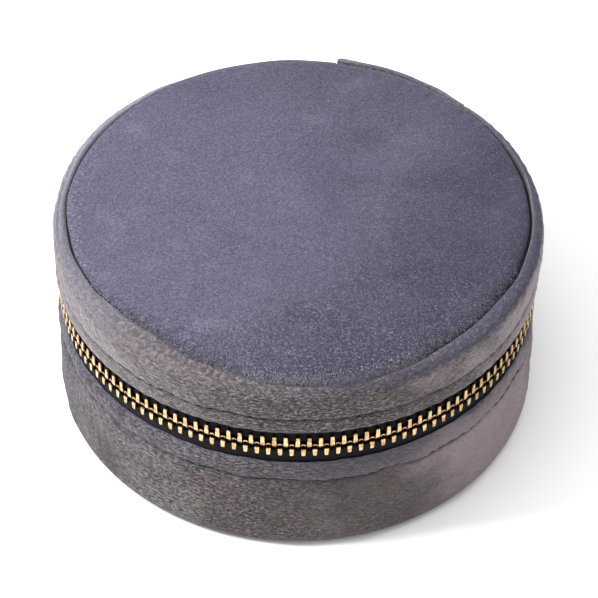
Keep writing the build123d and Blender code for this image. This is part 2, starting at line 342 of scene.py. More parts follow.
def velvet(name, up, side, shade, pale, patch=(0, 0, 0), patches=0.5, sheen=0.5, grain=0.5, mapped=False,
           rim=None, painted_light=(), calms=(), painted_roll_light=None):
    """Short-pile velvet whose colour carries painted light: the up colour where the pile faces up and catches
    the light from above, and a duller side colour down the walls, in painted shade.

    shade and pale are the nap brushed against and with the light, and patch shifts where the nap turns.
    mapped pile follows the cloth's own map; rim is where a fringe of longer pile starts on that map.
    Broad areas of painted shade and painted sheen, where the light falls off or catches the pile, are listed
    as (compass angle, start and end along it in millimetres, colour, share, faces), where faces is "up",
    "side" or
    "all". calms are areas where the pile lies smoother: (compass angle, start, end, share).
    Above a given level the pile takes a painted tone, the bluish light on the rolled top where light falls on
    it from above: (height, colour, share).
    The mesh's own shade attribute paints shade into seams and creases, and darkens patches on the base."""
    mat, tree, shader = nodes_of(name)
    place = tree.nodes.new("ShaderNodeTexCoord")
    here = place.outputs["Object"]
    cloth = place.outputs["UV"]
    upward = map_range(tree, axes_of(tree, place.outputs["Normal"])["Z"], 0.08, 0.8)
    # Painted light: the up colour where the pile faces up to the light, the side colour down the walls.
    colour = mix_colour(tree, upward, side, up)

    nap = noise_of(tree, here, 42, 3, 0.5, (1, 1, 1.7), offset=patch)
    shaded = map_range(tree, nap, 0.50, 0.66, 0, patches)
    colour = mix_colour(tree, shaded, colour, shade)
    brushed = noise_of(tree, here, 75, 2, 0.5, (1, 1.4, 2.2), (0, 0, 0.5), tuple(x + 3 for x in patch))
    lit = map_range(tree, brushed, 0.55, 0.75, 0, patches * 0.5)
    colour = mix_colour(tree, lit, colour, pale)

    axes = axes_of(tree, here)
    only = {"up": upward, "side": less(tree, 1.0, upward), "all": 1.0}
    uneven = times(tree, less(tree, nap, 0.5), 0.05)

    def towards(deg, start, end, share):
        """Up to share of an effect, growing with distance from the axis (in mm) in one direction."""
        east = times(tree, axes["X"], math.sin(math.radians(deg)))
        north = times(tree, axes["Y"], math.cos(math.radians(deg)))
        reach = plus(tree, plus(tree, east, north), uneven)
        return map_range(tree, reach, start * MM, end * MM, 0, share)

    # Painted shade and painted sheen over broad areas, growing in one direction.
    for deg, start, end, tone, share, faces in painted_light:
        factor = times(tree, towards(deg, start, end, share), only[faces])
        colour = mix_colour(tree, factor, colour, tone)

    # Painted light on the rolled top: its bluish tone where light falls on it from above.
    if painted_roll_light:
        level, tone, share = painted_roll_light
        above = map_range(tree, axes["Z"], level - 0.3 * MM, level + 0.3 * MM, 0, share)
        colour = mix_colour(tree, above, colour, tone)

    over, strokes = (cloth, (0.34, 1, 1)) if mapped else (here, (0.85, 1, 1))
    fibres = noise_of(tree, over, 4200, 2, 0.75, strokes, distortion=0.4)
    tufts = noise_of(tree, over, 2300, 2, 0.65, strokes, distortion=0.5)
    pile = plus(tree, times(tree, fibres, 0.5), times(tree, tufts, 0.5))
    if rim is not None:
        at_rim = map_range(tree, axes_of(tree, cloth)["Y"], rim - 3 * MM, rim + 3 * MM, 0, RIM_SHARE)
        in_front = map_range(tree, axes["Y"], 15 * MM, -15 * MM, 0.25, 1)
        at_rim = times(tree, at_rim, in_front)
        fringe = noise_of(tree, cloth, 3200, 3, 0.65, (1, 0.4, 1), distortion=0.4)
        blended = tree.nodes.new("ShaderNodeMix")
        sources = (at_rim, pile, fringe)
        for number, source in zip((0, 2, 3), sources):
            tree.links.new(source, blended.inputs[number])
        pile = blended.outputs[0]
    dark = map_range(tree, pile, 0.42, 0.54 if mapped else 0.52, grain, 0)
    light = map_range(tree, pile, 0.53, 0.61, 0, grain * (0.8 if mapped else 0.6))
    if rim is not None:
        dark = times(tree, dark, map_range(tree, at_rim, 0, RIM_SHARE, 1, 1.1))
        bolder = plus(tree, 1.0, towards(145, 15, 50, 0.8))
        dark, light = times(tree, dark, bolder), times(tree, light, bolder)
        light = times(tree, light, map_range(tree, at_rim, 0, RIM_SHARE, 1, 1.9))
    if mapped:
        dark = times(tree, dark, less(tree, 1.0, times(tree, upward, 0.3)))
        light = times(tree, light, less(tree, 1.0, times(tree, upward, 0.6)))
    for area in calms:
        kept = less(tree, 1.0, towards(*area))
        dark, light = times(tree, dark, kept), times(tree, light, kept)
    colour = mix_colour(tree, dark, colour, tuple(0.25 * c for c in side))
    colour = mix_colour(tree, light, colour, pale)
    # Painted shade in seams, creases and the lip's inside, and darker patches on the base, from the mesh's
    # shade attribute.
    fold = add(tree, "ShaderNodeAttribute", attribute_name="shade")
    colour = mix_colour(tree, fold.outputs["Fac"], colour, tuple(0.2 * c for c in side))
    paint(tree, shader, colour, map_range(tree, nap, 0.3, 0.7, 0.82, 0.95))
    shader.inputs["Sheen Weight"].default_value = sheen
    shader.inputs["Sheen Roughness"].default_value = 0.36
    shader.inputs["Sheen Tint"].default_value = (0.80, 0.78, 0.86, 1)
    shader.inputs["Specular IOR Level"].default_value = 0.12
    bump_of(tree, shader, [(pile, 0.3 * MM, 0.8)])
    return mat


def woven_tape():
    """Black zip tape: a fine herringbone of polyester yarn, from its place along and across the tape."""
    mat, tree, shader = nodes_of("woven_tape")
    uv = add(tree, "ShaderNodeUVMap", uv_map="UVMap")
    axes = axes_of(tree, uv.outputs[0])
    along, across = axes["X"], axes["Y"]
    yarn_turn = 2 * math.pi / (0.42 * MM)
    zigzag = maths(tree, "PINGPONG", across, 1.1 * MM)
    lines = maths(tree, "SINE", times(tree, plus(tree, along, zigzag), yarn_turn))
    rows = maths(tree, "SINE", times(tree, across, yarn_turn))
    height = times(tree, plus(tree, lines, times(tree, rows, 0.5)), 0.5)
    fuzz = noise_of(tree, object_place(tree), 2600, 3, 0.6)
    tone = map_range(tree, plus(tree, height, fuzz), -0.2, 1.6)
    colour = mix_colour(tree, tone, (0.001, 0.001, 0.0014), (0.009, 0.008, 0.011))
    paint(tree, shader, colour, map_range(tree, fuzz, 0.3, 0.7, 0.7, 0.9))
    shader.inputs["Sheen Weight"].default_value = 0.03
    shader.inputs["Specular IOR Level"].default_value = 0.1
    bump_of(tree, shader, [(height, 0.1 * MM, 0.7), (fuzz, 0.06 * MM, 0.5)])
    return mat


def brass(name, light, deep, rough=0.24, recess=None):
    """Polished brass of the zip, a little uneven; recess is the radius inside which it is painted nearly
    black, painted shade on the teeth's sunken heads.
    """
    mat, tree, shader = nodes_of(name)
    here = object_place(tree)
    blotch = noise_of(tree, here, 900, 3, 0.7)
    colour = mix_colour(tree, map_range(tree, blotch, 0.4, 0.65), light, deep)
    if recess:
        # Painted shade: nearly black inside the recess radius, on the heads and the inner parts of the teeth,
        # down among the legs and the tape.
        sunk = map_range(tree, from_axis(tree, here), recess - 0.15 * MM, recess + 0.15 * MM, 1, 0)
        colour = mix_colour(tree, sunk, colour, tuple(0.12 * c for c in deep))
    shader.inputs["Metallic"].default_value = 1.0
    scuff = noise_of(tree, here, 1900, 2, 0.6, (1, 1, 3))
    paint(tree, shader, colour, map_range(tree, scuff, 0.3, 0.75, rough * 0.75, rough * 1.5))
    bump_of(tree, shader, [(scuff, 0.05 * MM, 0.6)])
    return mat


def greyboard():
    """Grey card with fibres and flecks."""
    mat, tree, shader = nodes_of("greyboard")
    here = object_place(tree)
    fibre = noise_of(tree, here, 900, 4, 0.7, (1, 3, 3))
    fleck = noise_of(tree, here, 2400, 2, 0.7)
    colour = mix_colour(tree, map_range(tree, fibre, 0.35, 0.7), (0.20, 0.18, 0.155), (0.33, 0.31, 0.27))
    colour = mix_colour(tree, map_range(tree, fleck, 0.66, 0.72, 0, 0.6), colour, (0.07, 0.06, 0.05))
    paint(tree, shader, colour, map_range(tree, fibre, 0.3, 0.7, 0.8, 0.95))
    bump_of(tree, shader, [(fibre, 0.05 * MM, 0.6)])
    return mat


def open_foam():
    """Pale foam with small open cells."""
    mat, tree, shader = nodes_of("open_foam")
    here = object_place(tree)
    cells = add(tree, "ShaderNodeTexVoronoi", Scale=1500.0)
    tree.links.new(here, cells.inputs["Vector"])
    tone = map_range(tree, cells.outputs["Distance"], 0.1, 0.7)
    colour = mix_colour(tree, tone, (0.45, 0.44, 0.40), (0.72, 0.71, 0.66))
    paint(tree, shader, colour, map_range(tree, tone, 0, 1, 0.8, 0.95))
    bump_of(tree, shader, [(cells.outputs["Distance"], 0.15 * MM, 0.8)])
    return mat


def looking_glass():
    """Silvered mirror with the faintest wipe marks."""
    mat, tree, shader = nodes_of("looking_glass")
    here = object_place(tree)
    wipe = noise_of(tree, here, 60, 3, 0.6, (1, 4, 1), (0, 0, 0.7))
    colour = mix_colour(tree, map_range(tree, wipe, 0.3, 0.8), (0.86, 0.88, 0.88), (0.80, 0.82, 0.83))
    shader.inputs["Metallic"].default_value = 1.0
    paint(tree, shader, colour, map_range(tree, wipe, 0.4, 0.8, 0.015, 0.05))
    return mat


def sewing_thread():
    """Twisted sewing thread, close to the velvet's shadow."""
    mat, tree, shader = nodes_of("sewing_thread")
    here = object_place(tree)
    twist = noise_of(tree, here, 5200, 1, 0.5, (1, 1, 4))
    tone = map_range(tree, twist, 0.35, 0.65)
    colour = mix_colour(tree, tone, (0.028, 0.024, 0.026), (0.075, 0.066, 0.070))
    paint(tree, shader, colour, map_range(tree, twist, 0.3, 0.7, 0.55, 0.75))
    bump_of(tree, shader, [(twist, 0.04 * MM, 0.6)])
    return mat


# Velvet colours; NIGHT, DUSK, PLUM and TAUPE are also used as painted shade, PEARL and FAWN as painted sheen,
# ROSE only as painted sheen.
SLATE = (0.072, 0.070, 0.108)
TAUPE = (0.080, 0.066, 0.064)
ASH = (0.110, 0.105, 0.134)
DUSK = (0.022, 0.024, 0.038)
PEARL = (0.20, 0.196, 0.255)
FAWN = (0.21, 0.19, 0.195)
PLUM = (0.040, 0.037, 0.062)
NIGHT = (0.012, 0.011, 0.022)
ROSE = (0.26, 0.215, 0.22)

# Painted light on the panel: paler where the pile faces up, with painted shade falling off towards the right
# and towards the hinge.
panel_velvet = velvet("panel_velvet", SLATE, TAUPE, (0.046, 0.044, 0.076), PEARL, (0.3, 0.1, 0), 0.3,
                      0.3, 0.5, rim=PANEL_R - 4 * MM,
                      painted_light=((98, -5, 45, NIGHT, 0.55, "all"), (350, 15, 50, NIGHT, 0.28, "all")))
# Painted light on the lid's wall: the paler up colour, painted shade on the lip at the front and towards the
# right, and painted sheen down the right side, at the front left and on the lip at the back left.
lid_velvet = velvet("lid_velvet", ASH, TAUPE, (0.050, 0.043, 0.052), (0.28, 0.255, 0.26), (0.0, 0.0, 0.2),
                    0.2, 0.4, 1.0, mapped=True,
                    painted_light=((163, 30, 48, TAUPE, 0.75, "up"), (70, 10, 45, PLUM, 0.85, "up"),
                          (80, 40, 53, ROSE, 0.85, "side"),
                          (205, 42, 54, FAWN, 0.15, "all"),
                          (290, 30, 52, PEARL, 0.6, "up")),
                    calms=((243, 5, 50, 0.5), (0, 0, 45, 0.5), (88, 30, 52, 0.5)))
# Painted light on the base's wall: the paler up colour, painted shade towards the front left, painted sheen
# down the front and the right side, and on the rolled top above the seam the bluish tone it takes where light
# falls on it from above.
base_velvet = velvet("base_velvet", (0.090, 0.090, 0.122), TAUPE, DUSK, FAWN, (0.05, 0.02, 0.1), 0.35, 0.15,
                     0.95, mapped=True,
                     painted_light=((232, 25, 50, DUSK, 0.55, "all"),
                           (184, 50, 54, FAWN, 0.35, "side"),
                           (82, 33, 54, (0.26, 0.205, 0.21), 0.9, "side")),
                     calms=((0, 0, 45, 0.5), (88, 5, 50, 0.7)),
                     painted_roll_light=(BASE_SEAM_Z, (0.082, 0.082, 0.108), 0.42))
# The lining's up colour is a little paler than its side colour: painted light.
inner_velvet = velvet("inner_velvet", (0.125, 0.122, 0.165), (0.115, 0.111, 0.15), (0.08, 0.078, 0.11),
                      PEARL, (1.1, 0.4, 0), 0.35, 0.3, 0.35)
# Painted shadow: near-black pile without sheen for the bottom of the groove under the panel's edge.
groove_shadow_pile = velvet("groove_shadow_pile", NIGHT, NIGHT, NIGHT, SLATE, sheen=0.0, grain=0.3)
# The fringe's pile, with painted shade towards the right.
pile_tips = velvet("pile_tips", (0.150, 0.147, 0.185), (0.13, 0.125, 0.15), SLATE, (0.34, 0.335, 0.39),
                   (0.3, 0.1, 0), 0.3, 0.5, 0.6, painted_light=((85, 10, 48, NIGHT, 0.6, "all"),))
tape_cloth = woven_tape()
tooth_brass = brass("tooth_brass", (0.66, 0.46, 0.25), (0.36, 0.21, 0.10), 0.3, CHAIN_R + 0.85 * MM)
slider_brass = brass("slider_brass", (0.80, 0.60, 0.36), (0.70, 0.48, 0.25), 0.2)
board_grey = greyboard()
foam_pale = open_foam()
mirror_glass = looking_glass()
thread = sewing_thread()


def dress(o, material, body, slot_name, *nodes):
    """Give a piece its material and body, and hide the CAD nodes that it stands for; slot_name is not used.
    """
    o.data.materials.clear()
    o.data.materials.append(material)
    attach(o, body)
    if nodes:
        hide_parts(*nodes)
    return o


# ---- velvet walls

ROUND_STEPS = 900
STITCH = 2.9 * MM
HEM_DROP = 0.7 * MM    # the fold of the base's velvet hangs this much lower than in the CAD

# Each seam: its height, and the seeds of its wandering line and of its gathers.
LID_SEAM = (LID_SEAM_Z, 11, 21)
BASE_SEAM = (BASE_SEAM_Z, 12, 41)


def seam_line(theta, seed):
    """How far a seam wanders up or down as it goes round, in metres."""
    return 0.20 * MM * waves(theta, 0 * theta, seed, (6, 34), 1.0, 14)


def puckers(theta, seed):
    """Small gathers that the stitches pull into the velvet, from about 0 to 1."""
    turns = round(2 * math.pi * LID_R / STITCH)
    even = 0.5 + 0.5 * np.cos(turns * theta + 0.9 * waves(theta, 0 * theta, seed, (7, 60), 1.0, 12))
    return even * (0.75 + 0.25 * waves(theta, 0 * theta, seed + 1, (10, 90), 1.0, 16))


def seam_pull(theta, z, level, line_seed, gather_seed, reach):
    """How far a seam draws the wall inward: a sharp groove in a shallow dip as wide as reach."""
    from_seam = z - level - seam_line(theta, line_seed)
    pull = puckers(theta, gather_seed)
    groove = bell(from_seam, 0.32 * MM) * (0.25 + 0.30 * pull) * turn(theta, SEAM_DEPTH)
    return (groove + bell(from_seam, reach) * 0.10 * pull) * MM


def seam_shade(theta, z, level, line_seed, gather_seed):
    """How much shade is painted into the velvet at a seam."""
    from_seam = z - level - seam_line(theta, line_seed)
    return bell(from_seam, 0.22 * MM) * (0.75 + 0.3 * puckers(theta, gather_seed)) * turn(theta, SEAM_DEPTH)


def near_ends(theta):
    """1 at the zip's two ends, where the wall tucks under the hinge strip, 0 elsewhere."""
    deg = np.degrees(theta)
    return 1 - ramp(deg, ZIP_FROM, ZIP_FROM + 3) * (1 - ramp(deg, ZIP_TO - 3, ZIP_TO))


# Shapes that change round the lid, as (compass angle, millimetres). SEAM_DEPTH is a factor instead.
SHOULDER_DROP = ((16, 0.3), (30, 0.0), (70, 0.1), (100, 0.3), (130, 0.7), (155, 0.8), (195, 0.5), (225, 0.05),
                 (274, 0.0), (292, 0.5), (304, 1.1), (322, 2.1), (344, 1.9))
SHOULDER_OUT = ((18, 0.35), (60, 0.35), (95, 0.1), (130, 0.0), (240, 0.0), (262, 0.3), (290, 0.4), (315, 0.0))
LIP_INWARD = ((18, -1.0), (46, -1.1), (60, -0.6), (80, 0.3), (96, 1.4), (114, 1.4), (126, 0.3), (142, -0.4),
              (155, 0.6), (177, 2.5), (192, 3.7), (204, 3.0), (217, 1.5), (232, 0.5), (250, -0.3),
              (275, -0.45), (300, -0.6))
SEAM_DEPTH = ((0, 0.8), (95, 0.3), (120, 0.5), (145, 1.0), (165, 1.2), (215, 1.0), (250, 0.7), (300, 0.8))
LIP_CREASE = ((228, 0.0), (240, 0.5), (256, 0.45), (268, 0.0))


def lid_wall():
    """Velvet wall of the lid with its folded lower edge, sewn seam and rolled lip."""
    e, r, top = LID_EDGE, LID_R, LIP_Z
    c = COVER_IN
    outline = [
        *beside(c, e, (0, 1.2), (0, 0.3), (0.5, 0)),
        *beside(r, e, (-0.35, 0.05), (-0.12, 0.5), (-0.10, 1.5), (-0.12, 2.6), (-0.22, 3.35), (-0.30, 3.7),
                (-0.30, 3.9), (-0.20, 4.3), (-0.06, 5.1), (0, 6.4), (0, 7.8), (0, 9.2), (-0.02, 10.2)),
        *beside(r, top, (-0.12, -1.4), (-0.5, -0.55), (-1.1, -0.1), (-1.9, 0.02), (-2.5, -0.35),
                (-2.75, -1.0), (-2.4, -1.5)),
        *beside(c, top, (0.1, -1.5), (0, -2.2)),
        *beside(c, e, (0, 8), (0, 4)),
    ]
    section = rounded(outline, 2)

    def shift(r0, z0, theta):
        outer = ramp(r0, c + 0.4 * MM, r0.max() - 0.3 * MM)
        out = r0 - outer * seam_pull(theta, z0, *LID_SEAM, 1.5 * MM)
        side = ramp(z0, e, e + 1.5 * MM) * (1 - ramp(z0, top - 3 * MM, top))
        out = out + outer * side * 0.09 * MM * waves(theta, z0, 31, (6, 34), 9 * MM)
        out = out + outer * 0.04 * MM * waves(theta, z0, 32, (60, 150), 2.2 * MM, 40)
        hem = bell(z0 - e, 0.8 * MM)
        up = z0 + hem * 0.07 * MM * waves(theta, 0 * theta, 33, (20, 120), 1.0, 30)
        lip = ramp(z0, top - 2.2 * MM, top - 0.5 * MM)
        up = up + lip * 0.09 * MM * waves(theta, 0 * theta, 34, (4, 22), 1.0)
        inner = lip * (1 - ramp(r0, r - 2.7 * MM, r - 0.9 * MM))
        out = out - inner * turn(theta, LIP_INWARD) * MM
        shoulder = ramp(z0, top - 5 * MM, top - 0.8 * MM)
        up = up - shoulder * ramp(r0, r - 2.9 * MM, r - 0.3 * MM) * turn(theta, SHOULDER_DROP) * MM
        out = out + outer * ramp(z0, e + 3 * MM, top - 3 * MM) * turn(theta, SHOULDER_OUT) * MM
        up = up - lip * bell(r0 - (r - 1.1 * MM), 0.28 * MM) * turn(theta, LIP_CREASE) * MM
        out = out - outer * near_ends(theta) * 0.15 * MM
        return out, up

    def painted_shade(r0, z0, theta):
        outer = ramp(r0, c + 0.4 * MM, r0.max() - 0.3 * MM)
        # Painted shade in the seam, and on the lip's inner face down in the groove.
        inner = (1 - ramp(r0, r - 2.5 * MM, r - 1.9 * MM)) * (1 - ramp(z0, top - 1 * MM, top - 0.35 * MM))
        return np.maximum(outer * seam_shade(theta, z0, *LID_SEAM), 0.8 * inner)

    o = sweep("lid_wall_velvet", section, spaced(ZIP_FROM, ZIP_TO, ROUND_STEPS), shift, painted_shade=painted_shade)
    dress(o, lid_velvet, "lid", "velvet", "lid_side_cover")
    return o


# Darker patches on the base's wall: compass angle, height, half widths (degrees and
# millimetres) and depth.
DARK_PATCHES = ((204, 10, 5, 8, 0.5), (211, 24.5, 5, 1.6, 0.5), (189, 22, 4, 2.2, 0.4), (198, 24.5, 5, 1.4, 0.5),
           (172, 5, 6, 2.5, 0.25), (158, 17, 3, 2, 0.25), (222, 7, 4, 5, 0.3))


def patch_darkness(theta, z):
    """How dark the patches are at a place on the base's wall."""
    deg = np.degrees(theta) + 1.6 * waves(theta, z, 55, (20, 70), 7 * MM)
    high = z / MM + 1.2 * waves(theta, z, 56, (20, 70), 7 * MM)
    total = np.zeros(np.broadcast(theta, z).shape)
    for angle, level, wide, tall, depth in DARK_PATCHES:
        total = np.maximum(total, depth * bell(deg - angle, wide) * bell(high - level, tall))
    return total


def base_wall():
    """Velvet wall of the base: a soft roll above the seam, a plain wall below, turned under at the floor."""
    e, r = BASE_EDGE - HEM_DROP, BASE_R
    c = COVER_IN
    seam = BASE_SEAM_Z
    foot = COVER_IN - 1.05 * MM
    outline = [
        (foot, 0.0),
        *beside(r, 0, (-3.4, 0), (-2.3, 0.12), (-1.1, 0.85), (-0.35, 2.1), (-0.05, 3.8), (0, 7), (0, 11),
                (0, 15)),
        *beside(r, seam, (-0.02, -3.4), (-0.08, -1.6), (-0.24, -0.5), (-0.34, -0.1), (-0.34, 0.1),
                (-0.22, 0.5), (-0.04, 1.4), (0.05, 2.8)),
        *beside(r, e, (-0.04, -2.0), (-0.28, -0.8), (-0.62, -0.12)),
        *beside(c, e, (0.22, -0.02), (0, -0.5), (0, -2.5)),
        *beside(c, 0, (0, 14), (0, 5), (0, 1.3), (-0.15, 1.0)),
        (foot, 1.0 * MM),
    ]
    section = rounded(outline, 2)

    def shift(r0, z0, theta):
        outer = ramp(r0, c + 0.25 * MM, r0.max() - 0.3 * MM)
        out = r0 - outer * seam_pull(theta, z0, *BASE_SEAM, 1.7 * MM)
        side = ramp(z0, 1 * MM, 4 * MM)
        out = out + outer * side * 0.12 * MM * waves(theta, z0, 51, (5, 26), 11 * MM)
        out = out + outer * side * 0.03 * MM * waves(theta, z0, 52, (60, 150), 2.2 * MM, 40)
        top = ramp(z0, e - 1.2 * MM, e)
        up = z0 + top * 0.10 * MM * waves(theta, 0 * theta, 53, (8, 70), 1.0, 24)
        out = out - outer * near_ends(theta) * 0.2 * MM
        return out, np.maximum(up, 0.0)

    def painted_shade(r0, z0, theta):
        outer = ramp(r0, c + 0.25 * MM, r0.max() - 0.3 * MM)
        # Painted shade in the seam, and the darker patches.
        return outer * np.maximum(seam_shade(theta, z0, *BASE_SEAM), patch_darkness(theta, z0))

    o = sweep("base_wall_velvet", section, spaced(ZIP_FROM, ZIP_TO, ROUND_STEPS), shift, painted_shade=painted_shade)
    dress(o, base_velvet, "base", "velvet", "base_side_cover")
    return o


# ---- padded top

# How far the panel's edge stands out from its CAD radius, and how low it rolls, round the lid.
PANEL_OUT = ((0, 0.8), (30, 0.9), (46, 0.5), (60, 0.1), (80, -0.8), (96, -2.1), (114, -2.0), (126, -0.4),
             (142, 0.5), (155, -0.4), (177, -2.3), (192, -3.5), (204, -3.0), (217, -1.7), (232, -0.8),
             (250, 0.3), (275, 0.4), (300, 0.5), (330, 0.5))
PANEL_ROLL = ((0, 0.5), (20, 0.6), (50, 1.2), (85, 1.5), (110, 1.2), (130, 0.6), (155, 0.45), (190, 0.7),
              (220, 1.1), (255, 0.7), (280, 0.5), (300, 0.5))


def panel_height(theta, r):
    """Height of the padded panel's surface, which rolls down at its edge."""
    edge = PANEL_R + turn(theta, PANEL_OUT) * MM
    drop = turn(theta, PANEL_ROLL) * MM
    roll = 1.2 * MM + 1.5 * drop
    crown = TOP_Z - (TOP_Z - LIP_Z - 0.12 * MM) * (r / edge) ** 2.2
    into = np.clip((r - (edge - roll)) / roll, 0, 1)
    z = crown - drop * (1 - np.sqrt(np.maximum(1 - into ** 2.2, 0)))
    calm = 1 - ramp(r, edge - 5 * MM, edge)
    x, y = r * np.sin(theta), r * np.cos(theta)
    swell = 0.10 * MM * plane_waves(x, y, 61, 14 * MM, 40 * MM)
    fine = 0.022 * MM * plane_waves(x, y, 62, 1.6 * MM, 4 * MM, 60)
    tight = bell(r - (edge - 2.4 * MM), 2.2 * MM) * 0.05 * MM * waves(theta, r, 63, (40, 110), 4 * MM)
    return z + swell * calm + fine + tight


def padded_top():
    """The crowned velvet panel: its edge rolls down inside the lip."""
    n, rings = 720, 96
    theta = np.linspace(0, 2 * math.pi, n, endpoint=False)[None, :]
    edge = PANEL_R + turn(theta, PANEL_OUT) * MM
    t = np.linspace(0, 1, rings)[:, None]
    r = edge * (1 - (1 - t) ** 1.45)
    z = panel_height(theta, r)
    top = np.stack([r * np.sin(theta), r * np.cos(theta), z], axis=2).reshape(-1, 3)
    low = np.full_like(theta, PANEL_LOW - 0.3 * MM)
    skirt = np.stack([edge * np.sin(theta), edge * np.cos(theta), low], axis=2).reshape(-1, 3)
    verts = np.concatenate([top, skirt, [[0, 0, PANEL_LOW]]])
    faces = []
    j = np.arange(n)
    k = (j + 1) % n
    for i in range(rings):
        faces += list(zip(i * n + j, i * n + k, (i + 1) * n + k, (i + 1) * n + j))
    faces += [(len(verts) - 1, rings * n + a, rings * n + b) for a, b in zip(j, k)]
    uv = np.stack([np.repeat(theta * PANEL_R, rings, axis=0), r], axis=2).reshape(-1, 2)
    uvs = np.concatenate([uv, uv[-n:], [[0, 0]]])
    o = make("lid_panel_velvet", verts, faces, uvs)
    dress(o, panel_velvet, "lid", "velvet", "lid_top_cover")
    return o


def groove_shadow_ring():
    """The hidden turn of cloth at the bottom of the groove between panel and lip, near-black as painted
    shadow.
    """
    low = PANEL_LOW - 0.1 * MM
    out = LID_R - 2.0 * MM
    inn = PANEL_R - 6 * MM
    outline = [(inn, low), (out, low), (out, low + 0.15 * MM), (inn, low + 0.15 * MM)]
    o = sweep("lid_groove_shadow_ring", np.array(outline), spaced(0, 360, 181)[:-1], closed=True)
    return dress(o, groove_shadow_pile, "lid", "velvet")


def pile_fringe(name, material, body, roots, outward, seed, length, width):
    """Loose pile: short tapered ribbons that stand on the given roots and lean over."""
    rng = np.random.default_rng(seed)
    n = len(roots)
    sideways = np.cross(outward, (0, 0, 1))
    lean = rng.normal(0, 0.6, (n, 1))
    lift = rng.uniform(0.05, 0.5, (n, 1))
    way = outward + sideways * lean + np.array((0, 0, 1)) * lift
    way /= np.linalg.norm(way, axis=1, keepdims=True)
    flat = np.cross(way, rng.normal(0, 1, (n, 3)))
    flat /= np.linalg.norm(flat, axis=1, keepdims=True)
    long = length * rng.uniform(0.5, 1.2, (n, 1))
    droop = np.array((0, 0, -1)) * long * rng.uniform(0.15, 0.5, (n, 1))
    half = width / 2 * flat
    middle = roots + way * long * 0.5
    tip = roots + way * long + droop
    verts = np.stack([roots - half, roots + half, middle + 0.8 * half, middle - 0.8 * half, tip], axis=1)
    start = 5 * np.arange(n)
    quads = [(a, a + 1, a + 2, a + 3) for a in start]
    ends = [(a + 3, a + 2, a + 4) for a in start]
    o = make(name, verts.reshape(-1, 3), quads + ends)
    return dress(o, material, body, "velvet")


def panel_fringe():
    """Loose pile where the panel meets the lip at the front."""
    rng = np.random.default_rng(64)
    n = 7000
    theta = np.radians(rng.triangular(76, 150, 222, n))
    edge = PANEL_R + turn(theta, PANEL_OUT) * MM
    r = edge - np.abs(rng.normal(0, 1.1 * MM, n))
    z = panel_height(theta, r) - 0.02 * MM
    roots = np.stack([r * np.sin(theta), r * np.cos(theta), z], axis=1)
    outward = np.stack([np.sin(theta), np.cos(theta), 0 * theta], axis=1)
    return pile_fringe("lid_panel_pile", pile_tips, "lid", roots, outward, 65, 1.2 * MM, 0.12 * MM)


def plane_waves(x, y, seed, short, long, count=30):
    """Smooth random relief over a flat surface, of about unit size."""
    rng = np.random.default_rng(seed)
    total = np.zeros(np.broadcast(x, y).shape)
    for _ in range(count):
        k = 2 * math.pi / rng.uniform(short, long)
        a = rng.uniform(0, 2 * math.pi)
        total += np.cos(k * (x * math.cos(a) + y * math.sin(a)) + rng.uniform(0, 2 * math.pi))
    return total * math.sqrt(2 / count)


# ---- hinge


def hinge_strip():
    """The full-height velvet strip at the back; its top edge stands proud, then sags at one end."""
    c, r = COVER_IN, LID_R
    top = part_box("hinge_panel")[1].z
    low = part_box("hinge_panel")[0].z
    rows = 170
    zs = np.linspace(0, 1, rows)
    outer = [(r - 0.02 * MM, low + (top - low) * t) for t in zs[3:-3]]
    outline = [
        *beside(c, low, (0.1, 0)),
        *beside(r, low, (-1.2, 0), (-0.3, 0.35)),
        *outer,
        *beside(r, top, (-0.25, -0.6), (-0.7, -0.25), (-1.15, -0.35), (-1.35, -0.9)),
        *beside(c, top, (0, -1.9)),
    ]
    inner = [(c, low + (top - 2.2 * MM - low) * t) for t in np.linspace(1, 0, 60)]
    section = rounded(outline + inner, 1)

    def shift(r0, z0, theta):
        deg = np.degrees(theta)
        side = ramp(r0, c + 0.4 * MM, r - 0.3 * MM)
        rim = ramp(z0, top - 2.4 * MM, top - 0.6 * MM)
        sag = ramp(deg, 4, HINGE_HALF)
        out = r0 - rim * sag * 0.2 * MM
        up = z0 - rim * (0.2 + sag * 0.5) * MM
        out = out + side * 0.10 * MM * waves(theta, z0, 71, (6, 40), 12 * MM)
        hollow = 0.35 + 0.1 * waves(theta, 0 * theta, 72, (20, 60), 1.0)
        out = out - side * bell(z0 - ZIP_Z, 3.2 * MM) * hollow * MM
        hem = 1 - ramp(HINGE_HALF - np.abs(deg), 0.1, 0.9)
        out = out - side * hem * 0.5 * MM
        return out, up

    degs = spaced(-HINGE_HALF + 0.15, HINGE_HALF - 0.15, 120)
    o = sweep("hinge_strip_velvet", section, degs, shift)
    o.data.materials.append(lid_velvet)
    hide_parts("hinge_panel")
    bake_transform(o)
    return o


def hinge_inside():
    """The lining strip behind it, seen when the lid is open."""
    low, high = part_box("hinge_lining")
    t = TAPE_T / 2
    mid = TAPE_R - t
    zs = np.linspace(low.z, high.z, 90)
    outline = [(mid + t, z) for z in zs] + [(mid - t, z) for z in zs[::-1]]
    section = np.array(outline)

    def shift(r0, z0, theta):
        return r0 + 0.05 * MM * waves(theta, z0, 81, (10, 60), 6 * MM), z0

    o = sweep("hinge_lining_velvet", section, spaced(-HINGE_HALF + 0.1, HINGE_HALF - 0.1, 70), shift)
    o.data.materials.append(inner_velvet)
    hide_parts("hinge_lining")
    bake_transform(o)
    return o


# ---- zip

PITCH_DEG = math.degrees(2.40 * MM / CHAIN_R)
TEETH_FROM = -31.5
TEETH_COUNT = 113
CHAIN_LIFT = 0.3 * MM


